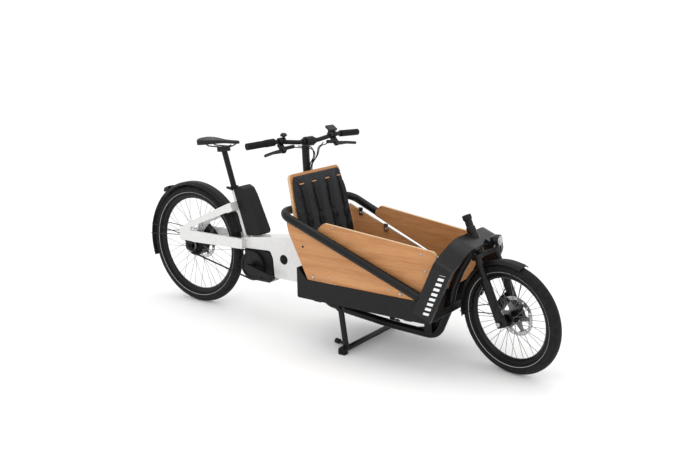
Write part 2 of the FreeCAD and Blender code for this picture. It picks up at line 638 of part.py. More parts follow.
def lower_frame():
    tube = pipe(LOWER_ROUTE, 70, "dims.lower_tube_radius")
    gusset = pad("gusset", [[(1440, 102), (1553, 99), (1594, 198), (1574, 200, 4),
                             (1520, 138, 40), (1440, 120, 4)]], "10")
    head = rod(on_head(317), on_head(405), "dims.head_tube_radius")
    way = rod(on_head(250), on_head(480), "dims.steerer_radius + dims.running_gap")
    beam_end = block(at(866, 0, 299.5), 120, 100, 120)
    piece(cut(fuse([tube, gusset, head]), [way, beam_end]), "lower_tube")
    supports = []
    for x in (1010, 1520):
        bottom = 131 - (x - 1040) * 0.07
        supports.append(block(at(x, 0, (d("tub_floor") + bottom + 16) / 2), 40, 60,
                              d("tub_floor") - bottom - 16.5))
        supports.append(block(at(x, 0, d("tub_floor") - 8), 40, 420, 15))
    tube_way = pipe(LOWER_ROUTE, 70, "dims.lower_tube_radius")
    pivot = rod(at(1144, -(d("stand_half") + 22), 222), at(1144, d("stand_half") + 22, 222),
                "dims.stand_pin_radius")
    post = block(at(1144, 0, 184), 34, 50, 68)
    hanger = [block(at(1144, side * 120, 232), 34, 20, 15) for side in (-1, 1)]
    piece(cut(fuse(supports + [pivot, post] + hanger), [tube_way, gusset]), "tub_supports")
    house = rod(on_column(484), on_column(640), "dims.column_house_radius")
    foot = rod(on_column(300), on_column(486), "dims.column_house_radius - 0.2")
    bore = rod(on_column(280), on_column(660), "dims.column_radius + dims.running_gap")
    tie = block(at(829, 0, 640), 30, 44, 24)
    rail_way = rod(at(852, -60, rail_height(852)), at(852, 60, rail_height(852)), "dims.rail_radius")
    piece(cut(fuse([house, foot, cut(tie, [rail_way])]), [bore]), "column_housing")


def kickstand():
    pivot_z, foot_x, bar_z = 222, 1175, 20
    parts = []
    for side in (-1, 1):
        sleeve = rod(at(1144, side * (d("stand_half") - 16), pivot_z),
                     at(1144, side * (d("stand_half") + 16), pivot_z), "dims.stand_pin_radius + 6")
        leg = rod(at(1146, side * d("stand_half"), pivot_z - 12),
                  at(foot_x, side * d("stand_half"), bar_z), "dims.stand_radius")
        parts += [sleeve, leg]
    bar = rod(at(foot_x, -(d("stand_half") + 14), bar_z), at(foot_x, d("stand_half") + 14, bar_z),
              "dims.stand_radius")
    peg = rod(at(foot_x, -165, bar_z), at(1104, -165, bar_z + 8), "8")
    peg_cap = rod(at(1106, -165, bar_z + 8), at(1084, -165, bar_z + 10), "13")
    pin_way = rod(at(1144, -300, pivot_z), at(1144, 300, pivot_z),
                  "dims.stand_pin_radius + dims.running_gap")
    piece(cut(fuse(parts + [bar, peg, peg_cap]), [pin_way]), "kickstand")
    feet = []
    for side in (-1, 1):
        y = side * (d("stand_half") + 27)
        shoe = pad("shoe", [[(-19, 0, 4), (19, 0, 4), (19, 38, 16), (-19, 38, 16)]], "26")
        shoe.Placement = Placement(at(foot_x, y, 0), Rotation())
        feet.append(shoe)
    piece(group(feet), "kickstand_feet")


# --- fork -------------------------------------------------------------------------------------

def fork():
    lift = d("fork_offset") - 6
    half = d("leg_spacing") / 2
    crown_at, tube_top = 306, 470
    steerer = rod(on_head(crown_at - 10), on_head(tube_top - 10), "dims.steerer_radius")
    cap = lathe("cap", [(0, 0), (21, 0, 1), (21, 26, 2), (17, 30, 2), (17, 60, 2), (21, 62, 2),
                        (21, 84, 4), (0, 86)], on_head(tube_top - 62), HEAD_UP)
    tilt = Rotation(Y, -(90 - d("head_angle")))
    crown = pad("crown", [[(-17, -18, 16), (18, -half - 17, 16), (lift + 19, -half - 17, 17),
                           (lift + 19, -half + 17, 12), (24, -20, 20), (24, 20, 20),
                           (lift + 19, half - 17, 12), (lift + 19, half + 17, 17),
                           (18, half + 17, 16), (-17, 18, 16)]], "20", "XY_Plane")
    crown.Placement = Placement(on_head(crown_at - 2), tilt)
    posts = [rod(on_head(120, lift, side * half), on_head(crown_at, lift, side * half),
                 "dims.stanchion_radius") for side in (-1, 1)]
    upper = piece(fuse([steerer, cap, crown] + posts), "fork_upper")
    lower_parts = []
    for side in (-1, 1):
        lower_parts.append(rod(on_head(-12, lift, side * half), on_head(200, lift, side * half),
                               "dims.leg_radius"))
        lower_parts.append(block(on_head(2, lift + 6, side * (half + 1)), 38, 26, 44, tilt))
    ways = [rod(on_head(60, lift, side * half), on_head(260, lift, side * half),
                "dims.stanchion_radius + dims.running_gap") for side in (-1, 1)]
    axle_way = rod(AXLE - Y * 90, AXLE + Y * 90, "dims.axle_radius")
    lower = piece(cut(fuse(lower_parts), ways + [axle_way]), "fork_lower")
    nuts = [lathe("nut", [(0, 0), (10, 0, 1), (10, 8, 2), (0, 8)],
                  AXLE + Y * side * (half + 20.3), Y * side) for side in (-1, 1)]
    axle = rod(AXLE - Y * (half + 22), AXLE + Y * (half + 22), "dims.axle_radius")
    axle_piece = piece(fuse([axle] + nuts), "front_axle")
    guard = fender("front_guard", AXLE, 268, 68, 73, 190, 12)
    wires = []
    for side in (-1, 1):
        for angle in (78, 184):
            ray = Vector(math.cos(math.radians(angle)), 0, math.sin(math.radians(angle)))
            wires.append(rod(on_head(52, lift, side * (half + 22.4)),
                             AXLE + ray * 260 + Y * side * 34, "2.2"))
    guard_piece = piece(group([guard] + wires), "front_fender")
    leg_way = rod(on_head(-20, lift, half), on_head(210, lift, half), "dims.leg_radius + 0.1")
    caliper = caliper_block(AXLE + Y * d("front_disc_line"), 146, "front_caliper", [leg_way])
    turned([upper, lower, axle_piece, guard_piece, caliper], FORK_TURN)


def caliper_block(disc_centre, angle, name, ways=()):
    """A brake caliper round the disc's edge, with a slot that clears the disc."""
    ray = Vector(math.cos(math.radians(angle)), 0, math.sin(math.radians(angle)))
    turn = Rotation(Y, -angle)
    body = block(disc_centre + ray * 84, 40, 25, 62, turn)
    lug = block(disc_centre + ray * 96 + Y * 15.7, 18, 14.6, 84, turn)
    slot = block(disc_centre + ray * 62, 74, 7, 90, turn)
    return piece(cut(fuse([body, lug]), [slot] + list(ways)), name)


# --- handlebar --------------------------------------------------------------------------------

def handlebar():
    clamp = on_column(966, 30)
    column = rod(on_column(300), on_column(900), "dims.column_radius")
    sleeve = lathe("sleeve", [(0, 0), (19, 0, 2), (19, 90, 2), (16, 94), (0, 94)],
                   on_column(800), COLUMN_UP)
    guide = block(on_column(700, 24), 22, 46, 22)
    neck = pipe([on_column(886), on_column(940, 2), clamp + at(4, 0, 2)], 30, "19")
    grip_block = rod(clamp - Y * 24, clamp + Y * 24, "24")
    bar_way = rod(clamp - Y * 40, clamp + Y * 40, "dims.bar_radius + 4.9")
    stem = cut(fuse([column, sleeve, neck, grip_block, guide]), [bar_way])
    stem_piece = piece(stem, "steering_column")
    ends = [at(clamp.x - 30, side * 345, 974) for side in (-1, 1)]
    route = [ends[0], at(clamp.x - 12, -190, 982), at(clamp.x, -60, 966.5), at(clamp.x, 60, 966.5),
             at(clamp.x - 12, 190, 982), ends[1]]
    tube = pipe(route, 90, "dims.bar_radius")
    tube_way = pipe(route, 90, "dims.bar_radius + dims.running_gap")
    bulge = rod(clamp - Y * 40, clamp + Y * 40, "dims.bar_radius + 4.8")
    bar_piece = piece(fuse([tube, bulge]), "handlebar")
    grips = []
    for side in (-1, 1):
        inner, outer = route[1 if side < 0 else 4], ends[0 if side < 0 else 1]
        lean = (outer - inner).normalize()
        start = 62 if side < 0 else 30
        grip = rod(inner + lean * start, outer + lean * 6, "dims.grip_radius")
        hollow = rod(inner, outer + lean * 1, "dims.bar_radius + dims.running_gap")
        grips.append(cut(grip, [hollow]))
    grips_piece = piece(group(grips), "grips")
    lean = (ends[0] - route[1]).normalize()
    sleeve = cut(rod(route[1] + lean * 12, route[1] + lean * 61.5, "dims.grip_radius + 1.5"),
                 [rod(route[1], route[1] + lean * 80, "dims.bar_radius + dims.running_gap")])
    moved = [stem_piece, bar_piece, grips_piece, piece(sleeve, "twist_shifter")]

    perches = []
    for side in (-1, 1):
        inner, outer = route[1 if side < 0 else 4], ends[0 if side < 0 else 1]
        lean = (outer - inner).normalize()
        ring = rod(inner - lean * 30, inner - lean * 12, "17")
        arm = block(inner - lean * 22 + LEVER_TURN.multVec(at(30, 0, -16)), 52, 22, 20, LEVER_TURN)
        tank = rod(inner - lean * 30 + LEVER_TURN.multVec(at(38, 0, -13)),
                   inner - lean * 84 + LEVER_TURN.multVec(at(36, 0, -12)), "9")
        pin_at = inner - lean * 16 + LEVER_TURN.multVec(at(46, 0, -16))
        reach = LEVER_TURN.multVec(Z) * 9
        fork_slot = block(pin_at, 30, 32, 9.4, LEVER_TURN)
        pin = rod(pin_at - reach, pin_at + reach, "3")
        perches.append(fuse([cut(fuse([ring, arm, tank]), [tube_way, fork_slot]), pin]))
        pin_way = rod(pin_at - reach, pin_at + reach, "3 + dims.running_gap")
        blade = cut(lever_blade(pin_at, lean, side), [pin_way])
        moved.append(piece(blade, "brake_lever_right" if side < 0 else "brake_lever_left"))
    moved.append(piece(group(perches), "brake_perches"))

    inner, lean = route[1], (ends[0] - route[1]).normalize()
    bell_at = inner - lean * 42
    bell = lathe("bell_cup", [(0, 0), (7, 0), (7, 5), (17, 7, 5), (17, 15, 7), (10, 23, 8), (0, 24)],
                 bell_at + Z * 14, Z)
    band = rod(bell_at - lean * 6, bell_at + lean * 6, "15")
    foot = block(bell_at + Z * 13, 12, 10, 8)
    moved.append(piece(cut(fuse([bell, band, foot]), [tube_way]), "bell"))
    inner, lean = route[4], (ends[1] - route[4]).normalize()
    screen_at = inner - lean * 44
    screen = block(screen_at + at(-8, 14, 30), 38, 50, 11, Rotation(Y, 30))
    arm = block(screen_at + at(-2, 0, 18), 14, 16, 16)
    band = rod(screen_at - lean * 7, screen_at + lean * 7, "16")
    moved.append(piece(cut(fuse([screen, arm, band]), [tube_way]), "display"))
    moved.append(piece(group(hoses(clamp, route)), "control_hoses"))
    turned(moved, BAR_TURN)
    return route


def lever_blade(pin_at, lean, side):
    """A brake lever blade: eye at the pin, long blade outward, splayed away from the grip."""
    length = 118
    outline = [(-9, -9, 8), (20, -9, 20), (60, -2, 40), (length, -4, 6), (length, 8, 6),
               (60, 10, 40), (9, 9, 8), (-9, 9, 8)]
    blade = pad("blade", [outline], "8.6", "XY_Plane")
    angle = math.degrees(math.atan2(lean.y, lean.x)) - side * 16
    flip = Rotation() if side > 0 else Rotation(X, 180)
    blade.Placement = Placement(pin_at, LEVER_TURN.multiply(Rotation(Z, angle)).multiply(flip))
    return blade


def hoses(clamp, route):
    """Brake hoses and the motor's lead: forward, down in loops, together into the column foot."""
    lines = []
    for k, (start_y, out, drop) in enumerate(((-120, 64, 60), (-80, 52, 36), (112, 58, 30),
                                              (80, 46, 50))):
        sign = 1 if start_y > 0 else -1
        start = at(clamp.x + 15, start_y, 952.5)
        points = [start, start + at(30, -sign * 34, -6), at(clamp.x + out, sign * 20, 956 - drop * 0.3),
                  at(clamp.x + out - 6, sign * 8 + k * 3, 905 - drop * 0.3),
                  on_column(852, 28, k * 7 - 10), on_column(790, 25, k * 9 - 13),
                  at(on_column(711, 26).x, k * 9 - 13, 711.2)]
        lines.append(pipe(points, 60, "2.6"))
    return lines


def lamps():
    body = lathe("lamp_body", [(0, -30), (12, -26, 6), (24, -5, 7), (25, 16, 2), (22.5, 18), (0, 12)],
                 at(1845, 0, 600), X)
    bracket = block(HOOP_FOOT + HOOP_TURN.multVec(at(60, 0, HOOP_TOP + 8.3)), 50, 14, 16, HOOP_TURN)
    piece(fuse([body, bracket]), "headlight")


BUILDERS = (wheels, rear_frame, saddle_and_post, battery_unit, drive, mudguards, cargo_box,
            fixings, lower_frame, kickstand, fork, handlebar, lamps)
for build in BUILDERS:
    build()
caliper_block(at(0, d("rear_disc_line"), d("rear_radius")), 48, "rear_caliper")

doc.recompute()
faults = [f"{o.Name} ({o.Label}): {o.State}" for o in doc.Objects
          if "Invalid" in o.State or "Error" in o.State]
if faults:
    raise RuntimeError("failed features: " + "; ".join(faults))

# The footprint's middle becomes the origin.
box = FreeCAD.BoundBox()
for obj in pieces:
    if obj.Shape.isNull() or not obj.Shape.isValid():
        raise RuntimeError(f"{obj.Label} has a bad shape")
    box.add(obj.Shape.optimalBoundingBox())
home = Placement(Vector(-box.Center.x, -box.Center.y, -box.ZMin), Rotation())
for obj in pieces:
    obj.Placement = home.multiply(obj.Placement)
doc.recompute()

os.makedirs("parts", exist_ok=True)
for obj in pieces:
    obj.Shape.exportStep(f"parts/{obj.Label}.step")
print("pieces", len(pieces), "moved by", home.Base)
print("size", box.XLength, box.YLength, box.ZLength)
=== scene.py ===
"""Looks of the front-loading cargo bicycle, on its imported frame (metres, +X forward, +Y left)."""
import math

import bmesh
import bpy
import numpy as np
from mathutils import Euler, Matrix, Quaternion, Vector, noise


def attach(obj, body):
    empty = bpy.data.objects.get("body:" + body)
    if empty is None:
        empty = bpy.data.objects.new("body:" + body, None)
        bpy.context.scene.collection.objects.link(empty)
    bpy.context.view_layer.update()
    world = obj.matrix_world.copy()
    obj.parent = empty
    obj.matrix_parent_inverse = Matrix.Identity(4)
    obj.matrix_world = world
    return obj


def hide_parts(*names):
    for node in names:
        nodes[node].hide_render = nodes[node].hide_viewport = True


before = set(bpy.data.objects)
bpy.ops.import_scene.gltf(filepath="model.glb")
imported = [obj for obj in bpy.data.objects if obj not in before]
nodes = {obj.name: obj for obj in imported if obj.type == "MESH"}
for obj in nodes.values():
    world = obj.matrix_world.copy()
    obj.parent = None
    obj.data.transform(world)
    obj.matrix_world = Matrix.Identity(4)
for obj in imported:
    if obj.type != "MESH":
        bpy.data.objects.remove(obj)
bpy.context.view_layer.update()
scene = bpy.context.scene

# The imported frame's place for the drawing's origin: below the rear axle, on the middle plane.
HOME = Vector((-0.913204, 0.001773, 0))


def bike(x, y, z):
    """A point of the drawing, in mm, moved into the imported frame."""
    return Vector((x, y, z)) / 1000 + HOME


# Wheels and steering. The bars and the fork are posed turned to the right.
REAR_AXLE, FRONT_AXLE = bike(0, 0, 334.5), Vector((1.013825, -0.007859, 0.257588))
REAR_TYRE_RADIUS, FRONT_TYRE_RADIUS = 0.3345, 0.258
HEAD_UP = Vector((-0.390731, 0, 0.920505))
COLUMN_TOP, COLUMN_UP = bike(797, 0, 829), Vector((-0.049938, 0, 0.998752))
STEER = math.radians(-12.5)
FRONT_TURN = Quaternion(HEAD_UP, STEER).to_matrix()
BAR_TURN = (Matrix.Translation(COLUMN_TOP) @ Quaternion(COLUMN_UP, STEER).to_matrix().to_4x4()
            @ Matrix.Translation(-COLUMN_TOP))

# The cargo box: its side boards' slopes, how far a screw head's base is from the middle of its
# board in mm, and the leaning hoop and back board.
SIDE_SLOPE = 0.07
WING_SLOPE = 0.0643
SCREW_SEAT = 7.6
HOOP_FOOT, HOOP_LEAN = bike(1622, 0, 286), math.radians(23.3)
LAMP_CENTRE = bike(1845, 0, 600)
LEAN = math.radians(14.2)
BACK_FOOT = bike(960.5, 0, 342)
BACK_OUT = Vector((math.cos(LEAN), 0, math.sin(LEAN)))
BACK_UP = Vector((-math.sin(LEAN), 0, math.cos(LEAN)))

# Four straps across the back rest, the pad's lower and upper edges up the board, and how far
# its front and back may stand from the board's middle.
STRAPS = (-0.150, -0.052, 0.052, 0.150)
PAD_FOOT, PAD_TOP = 0.101, 0.486
PAD_FRONT, PAD_BACK = 0.0375, 0.0079
WEBBING_WIDTH, STRAP_TOP, STRAP_DROP = 0.025, 0.440, 0.292

HOSE_RADIUS = 0.0026

# The view: direction to the camera, its roll, and where it stands.
VIEW_TURN, VIEW_RISE, VIEW_ROLL = math.radians(35.89), math.radians(13.0), math.radians(-0.86)
VIEW_PLACE = (2.55376, -3.32635, 1.5176)
FOCAL_LENGTH = 44.38


# --- camera, floor and light ------------------------------------------------------------------

def camera():
    """A plain perspective camera, square to the view direction apart from a small roll."""
    data = bpy.data.cameras.new("camera")
    data.sensor_width, data.lens, data.clip_end = 36, FOCAL_LENGTH, 60
    eye = bpy.data.objects.new("camera", data)
    scene.collection.objects.link(eye)
    back = Vector((math.sin(VIEW_TURN) * math.cos(VIEW_RISE),
                   -math.cos(VIEW_TURN) * math.cos(VIEW_RISE), math.sin(VIEW_RISE)))
    level = Vector((math.cos(VIEW_TURN), math.sin(VIEW_TURN), 0))
    above = back.cross(level)
    right = level * math.cos(VIEW_ROLL) + above * math.sin(VIEW_ROLL)
    up = above * math.cos(VIEW_ROLL) - level * math.sin(VIEW_ROLL)
    eye.matrix_world = Matrix((right, up, back)).transposed().to_4x4()
    eye.location = VIEW_PLACE
    scene.camera = eye


def area_light(name, place, target, size, power):
    """A rectangular lamp at a place, facing a target."""
    data = bpy.data.lights.new(name, "AREA")
    data.shape, data.size, data.size_y, data.energy = "RECTANGLE", size[0], size[1], power
    lamp = bpy.data.objects.new(name, data)
    lamp.location = place
    lamp.rotation_euler = (Vector(target) - Vector(place)).to_track_quat("-Z", "Y").to_euler()
    scene.collection.objects.link(lamp)


def studio():
    """A white floor and world with three soft lights."""
    reach = 30
    mesh = bpy.data.meshes.new("floor")
    mesh.from_pydata([(-reach, -reach, 0), (reach, -reach, 0), (reach, reach, 0),
                      (-reach, reach, 0)], [], [(0, 1, 2, 3)])
    floor = bpy.data.objects.new("floor", mesh)
    scene.collection.objects.link(floor)
    pale = bpy.data.materials.new("floor_white")
    pale.use_nodes = True
    shader = pale.node_tree.nodes["Principled BSDF"]
    shader.inputs["Base Color"].default_value = (1, 1, 1, 1)
    shader.inputs["Roughness"].default_value = 0.9
    shader.inputs["Specular IOR Level"].default_value = 0.1
    mesh.materials.append(pale)
    world = bpy.data.worlds.new("studio")
    world.use_nodes = True
    sky = world.node_tree.nodes["Background"]
    sky.inputs["Color"].default_value = (1, 1, 1, 1)
    sky.inputs["Strength"].default_value = 1.03
    scene.world = world
    scene.view_settings.view_transform = "Standard"
    area_light("key", (1.2, -3.2, 3.0), (0.1, 0, 0.5), (1.6, 1.2), 15)
    area_light("top", (0, 0.2, 3.6), (0, 0, 0), (3.4, 2.4), 24)
    area_light("front", (3.6, -0.6, 1.4), (0.9, 0, 0.4), (0.8, 1.4), 5)


# --- materials --------------------------------------------------------------------------------

class Look:
    """A material whose colour, roughness and bump are built from nodes on object coordinates."""

    def __init__(self, name, **sockets):
        self.material = bpy.data.materials.new(name)
        self.material.use_nodes = True
        self.tree = self.material.node_tree
        self.shader = self.tree.nodes["Principled BSDF"]
        self.place = self.tree.nodes.new("ShaderNodeTexCoord").outputs["Object"]
        self.last_bump = None
        for socket, value in sockets.items():
            self.shader.inputs[socket.replace("_", " ")].default_value = value

    def node(self, kind, inputs, **settings):
        made = self.tree.nodes.new("ShaderNode" + kind)
        for key, value in settings.items():
            setattr(made, key, value)
        for key, value in inputs.items():
            if isinstance(value, bpy.types.NodeSocket):
                self.tree.links.new(value, made.inputs[key])
            else:
                made.inputs[key].default_value = value
        return made

    def math(self, operation, *values):
        return self.node("Math", dict(enumerate(values)), operation=operation).outputs[0]

    def stretched(self, scale):
        return self.node("Mapping", {"Vector": self.place, "Scale": scale}).outputs[0]

    def noise(self, scale, detail=2.0, at=None, distortion=0.0, roughness=0.5):
        made = self.node("TexNoise", {"Vector": at or self.place, "Scale": scale, "Detail": detail,
                                      "Distortion": distortion, "Roughness": roughness})
        return made.outputs["Fac"]

    def cells(self, scale):
        made = self.node("TexVoronoi", {"Vector": self.place, "Scale": scale})
        return made.outputs["Distance"]

    def waves(self, value, frequency):
        return self.math("SINE", self.math("MULTIPLY", value, frequency))

    def span(self, value, low, high, to_low=0.0, to_high=1.0):
        return self.node("MapRange", {"Value": value, "From Min": low, "From Max": high,
                                      "To Min": to_low, "To Max": to_high}).outputs["Result"]

    def mix(self, factor, first, second):
        """first where factor is 0, second where it is 1; each is a colour or a socket."""
        made = self.node("Mix", {"Factor": factor}, data_type="RGBA")
        for socket, value in ((6, first), (7, second)):
            if isinstance(value, bpy.types.NodeSocket):
                self.tree.links.new(value, made.inputs[socket])
            else:
                made.inputs[socket].default_value = (*value, 1)
        return made.outputs[2]

    def colour(self, socket):
        self.tree.links.new(socket, self.shader.inputs["Base Color"])

    def rough(self, socket):
        self.tree.links.new(socket, self.shader.inputs["Roughness"])

    def bump(self, height, distance):
        """Adds a layer of relief on top of the bumps made before it."""
        made = self.node("Bump", {"Height": height, "Distance": distance, "Strength": 1.0})
        if self.last_bump:
            self.tree.links.new(self.last_bump, made.inputs["Normal"])
        self.last_bump = made.outputs[0]
        self.tree.links.new(self.last_bump, self.shader.inputs["Normal"])

    def parts(self, at=None):
        made = self.node("SeparateXYZ", {"Vector": at or self.place})
        return made.outputs[0], made.outputs[1], made.outputs[2]

    def clouded(self, colour, amount, scale=14):
        """A colour that drifts a little lighter and darker over the surface."""
        pale = tuple(min(c * (1 + amount), 1) for c in colour)
        deep = tuple(c * (1 - amount) for c in colour)
        self.colour(self.mix(self.span(self.noise(scale, 4), 0.3, 0.7), deep, pale))


def enamel(name, colour, rough=0.3, coat=0.4, peel=0.00004, drift=0.05, specular=0.22):
    """Powder coat: a faint orange peel, slow drift in gloss, and dust that dulls it in patches."""
    look = Look(name, Coat_Weight=coat, Coat_Roughness=0.12, Specular_IOR_Level=specular)
    look.clouded(colour, drift)
    look.rough(look.span(look.noise(35, 5), 0.3, 0.75, rough - 0.05, rough + 0.09))
    look.bump(look.noise(1300, 2), peel)
    return look.material


def moulded(name, colour, rough=0.5, grain=0.0001, scale=1500, specular=0.2):
    """Textured plastic or rubber: a fine pebble grain and handling marks."""
    look = Look(name, Specular_IOR_Level=specular)
    look.clouded(colour, 0.14, 30)
    look.rough(look.span(look.noise(60, 4), 0.3, 0.7, rough - 0.06, rough + 0.08))
    look.bump(look.cells(scale), grain)
    return look.material


def brushed(name, colour, rough):
    """Bare metal with a fine, even brushing."""
    look = Look(name, Metallic=1.0)
    lines = look.noise(900, 3)
    look.colour(look.mix(look.span(lines, 0.3, 0.7), tuple(c * 0.86 for c in colour), colour))
    look.rough(look.span(look.noise(40, 3), 0.3, 0.7, rough - 0.05, rough + 0.08))
    look.bump(lines, 0.00002)
    return look.material


def about_wheel(look, front):
    """Angle round the axle, distance from it and distance from the wheel's plane."""
    made = look.node("Mapping", {"Vector": look.place,
                                 "Location": FRONT_AXLE if front else REAR_AXLE,
                                 "Rotation": FRONT_TURN.to_euler() if front else Euler()},
                     vector_type="TEXTURE")
    x, y, z = look.parts(made.outputs[0])
    radius = look.math("SQRT", look.math("ADD", look.math("MULTIPLY", x, x),
                                         look.math("MULTIPLY", z, z)))
    return look.math("ARCTAN2", z, x), radius, look.math("ABSOLUTE", y)


def tyre(name, front):
    """Rubber with a blocked crown, fine sidewall ribs and a pale reflective line by the rim."""
    look = Look(name, Specular_IOR_Level=0.16)
    angle, radius, off = about_wheel(look, front)
    full = FRONT_TYRE_RADIUS if front else REAR_TYRE_RADIUS
    line_inset, tread_blocks, tread_depth = 0.0405, 78 if front else 100, 0.0022
    line = look.span(look.math("ABSOLUTE", look.math("SUBTRACT", radius, full - line_inset)),
                     0.0011, 0.0006)
    dust = look.mix(look.span(look.noise(45, 5), 0.35, 0.75), (0.0062, 0.0062, 0.0064),
                    (0.016, 0.0155, 0.015))
    look.colour(look.mix(line, dust, (0.5, 0.5, 0.5)))
    look.rough(look.span(look.noise(90, 3), 0.3, 0.7, 0.55, 0.72))
    slant = look.math("ADD", look.math("MULTIPLY", angle, tread_blocks),
                      look.math("MULTIPLY", off, 330))
    block = look.span(look.math("SINE", slant), -0.55, -0.25)
    groove = look.span(look.waves(off, 520), -0.75, -0.45)
    crown = look.span(radius, full - 0.016, full - 0.013)
    look.bump(look.math("MULTIPLY", look.math("MULTIPLY", block, groove), crown), tread_depth)
    ribs = look.waves(radius, 2600)
    look.bump(look.math("MULTIPLY", ribs, look.math("SUBTRACT", 1.0, crown)), 0.00012)
    return look.material


def hub_and_spokes(name, front, hub_radius):
    """Dark hub shell in the middle, grey round steel spokes outside it."""
    hub_colour = (0.009, 0.009, 0.0095)
    look = Look(name, Metallic=0.9)
    _, radius, _ = about_wheel(look, front)
    spoke = look.span(radius, hub_radius, hub_radius + 0.0005)
    fine = look.span(look.noise(400, 3), 0.3, 0.7)
    look.colour(look.mix(spoke, look.mix(fine, hub_colour, tuple(c * 1.4 for c in hub_colour)),
                         look.mix(fine, (0.15, 0.15, 0.155), (0.21, 0.21, 0.22))))
    look.rough(look.span(look.noise(60, 3), 0.3, 0.7, 0.26, 0.4))
    return look.material


def brake_disc(name, front):
    """Ground steel: rings of fine lines, brighter on the braking track."""
    look = Look(name, Metallic=1.0)
    _, radius, _ = about_wheel(look, front)
    rings = look.node("TexNoise", {"W": look.math("MULTIPLY", radius, 3000.0), "Detail": 2.0},
                      noise_dimensions="1D").outputs["Fac"]
    track_start = 0.073
    track = look.span(radius, track_start, track_start + 0.002)
    look.colour(look.mix(track, look.mix(rings, (0.16, 0.16, 0.17), (0.24, 0.24, 0.25)),
                         look.mix(rings, (0.5, 0.5, 0.51), (0.68, 0.68, 0.69))))
    look.rough(look.span(rings, 0.3, 0.7, 0.22, 0.36))
    look.bump(rings, 0.00002)
    return look.material


def plywood(name, core, through, length_axis):
    """Clear-coated plywood: grain along the board on its faces, stacked plies on its edges.

    core is a point in the middle of the board's thickness, measured from the bicycle's middle
    plane, and through the direction of that thickness. Both are for the left-hand board of a
    pair, and the right-hand one mirrors it.
    """
    ply_pitch, plies_end, face_start = 0.003, 0.0067, 0.0071
    look = Look(name, Coat_Weight=0.08, Coat_Roughness=0.3, Specular_IOR_Level=0.25)
    x, y, z = look.parts()
    mirrored = look.node("CombineXYZ", {"X": x, "Y": look.math("ABSOLUTE", look.math(
        "SUBTRACT", y, HOME.y)), "Z": z}).outputs[0]
    local = look.node("VectorMath", {0: mirrored, 1: core}, operation="SUBTRACT").outputs[0]
    depth = look.node("VectorMath", {0: local, 1: through},
                      operation="DOT_PRODUCT").outputs["Value"]
    stretch = (2.2, 34, 34) if length_axis == "X" else (34, 2.2, 34)
    wavy = look.noise(1.0, 5, look.stretched(stretch), 0.9, 0.6)
    fibre = look.noise(1.0, 3, look.stretched(tuple(s * 9 for s in stretch)), 0.2, 0.6)
    streak = look.noise(1.0, 2, look.stretched(tuple(s * 1.7 for s in stretch)), 0.4)
    broad = look.noise(3.1, 2)
    light, middle, dark = (0.585, 0.292, 0.122), (0.452, 0.196, 0.071), (0.246, 0.092, 0.030)
    face_colour = look.mix(look.span(wavy, 0.34, 0.68), light, middle)
    face_colour = look.mix(look.span(fibre, 0.45, 0.85, 0.0, 0.4), face_colour, dark)
    face_colour = look.mix(look.span(streak, 0.66, 0.8, 0.0, 0.45), face_colour, dark)
    face_colour = look.mix(look.span(broad, 0.35, 0.7, 0.0, 0.22), face_colour, middle)
    ply = look.waves(depth, 2 * math.pi / ply_pitch)
    ply_colour = look.mix(look.span(ply, -0.5, 0.5), (0.47, 0.3, 0.16), (0.78, 0.6, 0.38))
    inside = look.span(look.math("ABSOLUTE", depth), face_start, plies_end)
    look.colour(look.mix(inside, face_colour, ply_colour))
    look.rough(look.span(fibre, 0.3, 0.7, 0.36, 0.52))
    look.bump(fibre, 0.00007)
    return look.material


def cloth(name, colour, thread_waves):
    """Woven fabric: crossed threads and a slow unevenness."""
    look = Look(name, Sheen_Weight=0.08, Sheen_Roughness=0.5, Specular_IOR_Level=0.2,
                Roughness=0.85)
    look.clouded(colour, 0.22, 40)
    x, y, z = look.parts()
    warp = look.waves(y, thread_waves)
    weft = look.waves(look.math("ADD", z, x), thread_waves)
    look.bump(look.math("MAXIMUM", warp, weft), 0.0003)
    look.bump(look.noise(160, 3), 0.0006)
    return look.material


def leather(name, colour):
    """Saddle cover: fine cells, worn a little smoother in places."""
    look = Look(name, Coat_Weight=0.05, Coat_Roughness=0.4, Specular_IOR_Level=0.25)
    look.clouded(colour, 0.2, 30)
    look.rough(look.span(look.noise(25, 4), 0.3, 0.7, 0.42, 0.58))
    look.bump(look.cells(700.0), 0.00025)
    return look.material


def barred_hoop(name):
    """The hoop's powder coat with a plain row of slanted white bars on each side face."""
    bar_pitch, bar_slant, side_face = 0.026, 0.35, 0.2485
    look = Look(name, Coat_Weight=0.06, Coat_Roughness=0.2, Specular_IOR_Level=0.25)
    x, y, z = look.parts(look.node("Mapping", {
        "Vector": look.place, "Location": HOOP_FOOT,
        "Rotation": (0, HOOP_LEAN, 0)}, vector_type="TEXTURE").outputs[0])
    side = look.math("GREATER_THAN", look.math("ABSOLUTE", y), side_face)
    slanted = look.math("SUBTRACT", z, look.math("MULTIPLY", x, bar_slant))
    bars = look.math("GREATER_THAN", look.waves(slanted, 2 * math.pi / bar_pitch), -0.1)
    row = look.math("MULTIPLY", look.math("COMPARE", x, 0.014, 0.0135),
                    look.math("COMPARE", slanted, 0.105, 0.104))
    paint = look.math("MULTIPLY", look.math("MULTIPLY", side, bars), row)
    dark = look.mix(look.span(look.noise(20, 4), 0.3, 0.7), (0.0050, 0.0050, 0.0054),
                    (0.0085, 0.0085, 0.0090))
    look.colour(look.mix(paint, dark, (0.82, 0.82, 0.82)))
    look.rough(look.span(look.noise(35, 4), 0.3, 0.75, 0.3, 0.44))
    look.bump(look.noise(1300, 2), 0.00004)
    return look.material


